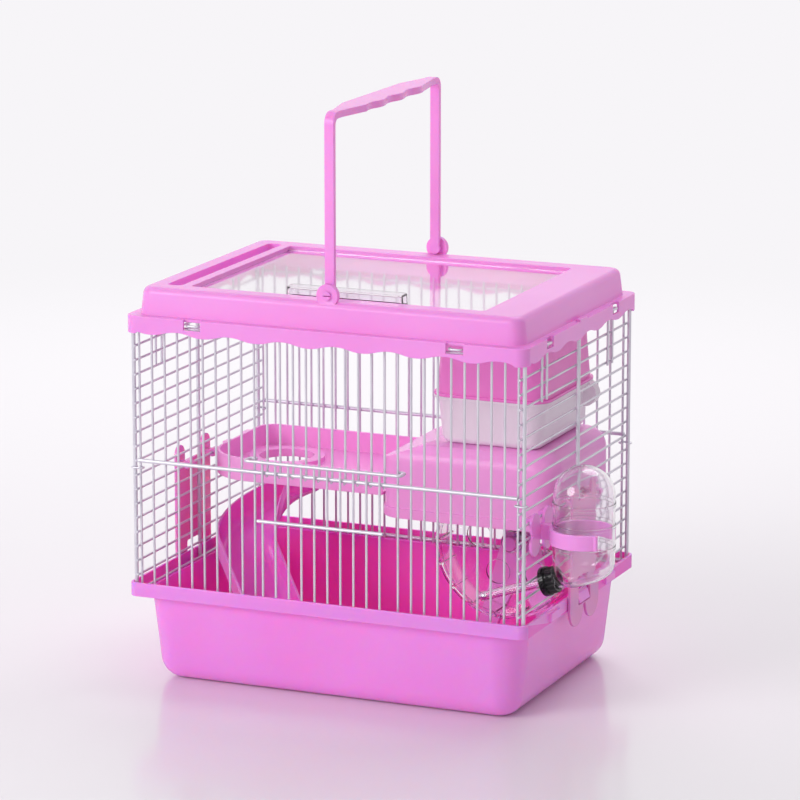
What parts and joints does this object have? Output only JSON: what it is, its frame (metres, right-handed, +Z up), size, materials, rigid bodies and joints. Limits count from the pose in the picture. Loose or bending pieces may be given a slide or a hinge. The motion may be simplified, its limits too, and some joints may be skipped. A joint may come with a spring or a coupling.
{
  "type": "hamster cage",
  "caption": "Wire hamster cage with a moulded tub and cover, hinged clear lid, carrying handle, sliding door, side latches, slide, wheel, nest hood and water bottle.",
  "frame": {"origin": "centre of the tub's underside", "axes": "+X to the right seen from the door, +Y to the back, +Z up"},
  "size_m": [0.3521, 0.2191, 0.4138],
  "materials": {
    "pink_plastic": "glossy moulded polystyrene",
    "pale_pink_plastic": "glossy moulded polystyrene, paler",
    "wire_coat": "smooth coating on steel wire",
    "clear_plastic": "clear polystyrene",
    "clear_pink_plastic": "translucent pink plastic",
    "frosted_plastic": "translucent white plastic",
    "black_plastic": "glossy, ribbed",
    "seal_rubber": "soft seal",
    "steel": "drawn and polished",
    "ball_chrome": "polished ball"
  },
  "bodies": {
    "cage": {"base_tub": "pink_plastic", "front_panel": "wire_coat", "back_panel": "wire_coat", "left_panel": "wire_coat", "right_panel": "wire_coat", "corner_rings": "wire_coat", "cover_hooks": "wire_coat", "top_cover": "pink_plastic", "tray": "pale_pink_plastic", "slide": "pink_plastic", "roof": "pale_pink_plastic", "bowl": "frosted_plastic", "hood": "pink_plastic", "wheel_stand": "pink_plastic", "wheel_axle": "steel", "axle_cap": "pink_plastic", "bottle": "clear_plastic", "bottle_cap": "black_plastic", "cap_washer": "seal_rubber", "nozzle_tube": "clear_plastic", "nozzle_ball": "ball_chrome", "bottle_clip": "pink_plastic"},
    "front_door": {"front_door": "wire_coat"},
    "lid": {"lid": "clear_plastic"},
    "handle": {"handle": "pink_plastic"},
    "wheel": {"wheel": "clear_plastic"},
    "left_latch": {"left_latch": "clear_pink_plastic"},
    "right_latch": {"right_latch": "clear_pink_plastic"}
  },
  "joints": [
    {"name": "handle_fold", "type": "hinge", "parent": "cage", "child": "handle", "pos_m": [0, 0, 0.2883], "axis": [0, 1, 0], "range_deg": [-90, 85]},
    {"name": "lid_hinge", "type": "hinge", "parent": "cage", "child": "lid", "pos_m": [0, 0.078, 0.2802], "axis": [-1, 0, 0], "range_deg": [0, 44]},
    {"name": "door_slide", "type": "slide", "parent": "cage", "child": "front_door", "axis": [0, 0, 1], "range_m": [0, 0.08]},
    {"name": "wheel_spin", "type": "hinge", "parent": "cage", "child": "wheel", "pos_m": [0.0803, 0.05, 0.089], "axis": [0, 1, 0], "continuous": true},
    {"name": "left_latch_swing", "type": "hinge", "parent": "cage", "child": "left_latch", "pos_m": [-0.144, 0, 0.1399], "axis": [0, 1, 0], "range_deg": [0, 28]},
    {"name": "right_latch_swing", "type": "hinge", "parent": "cage", "child": "right_latch", "pos_m": [0.144, 0, 0.1399], "axis": [0, 1, 0], "range_deg": [-28, 0]}
  ]
}
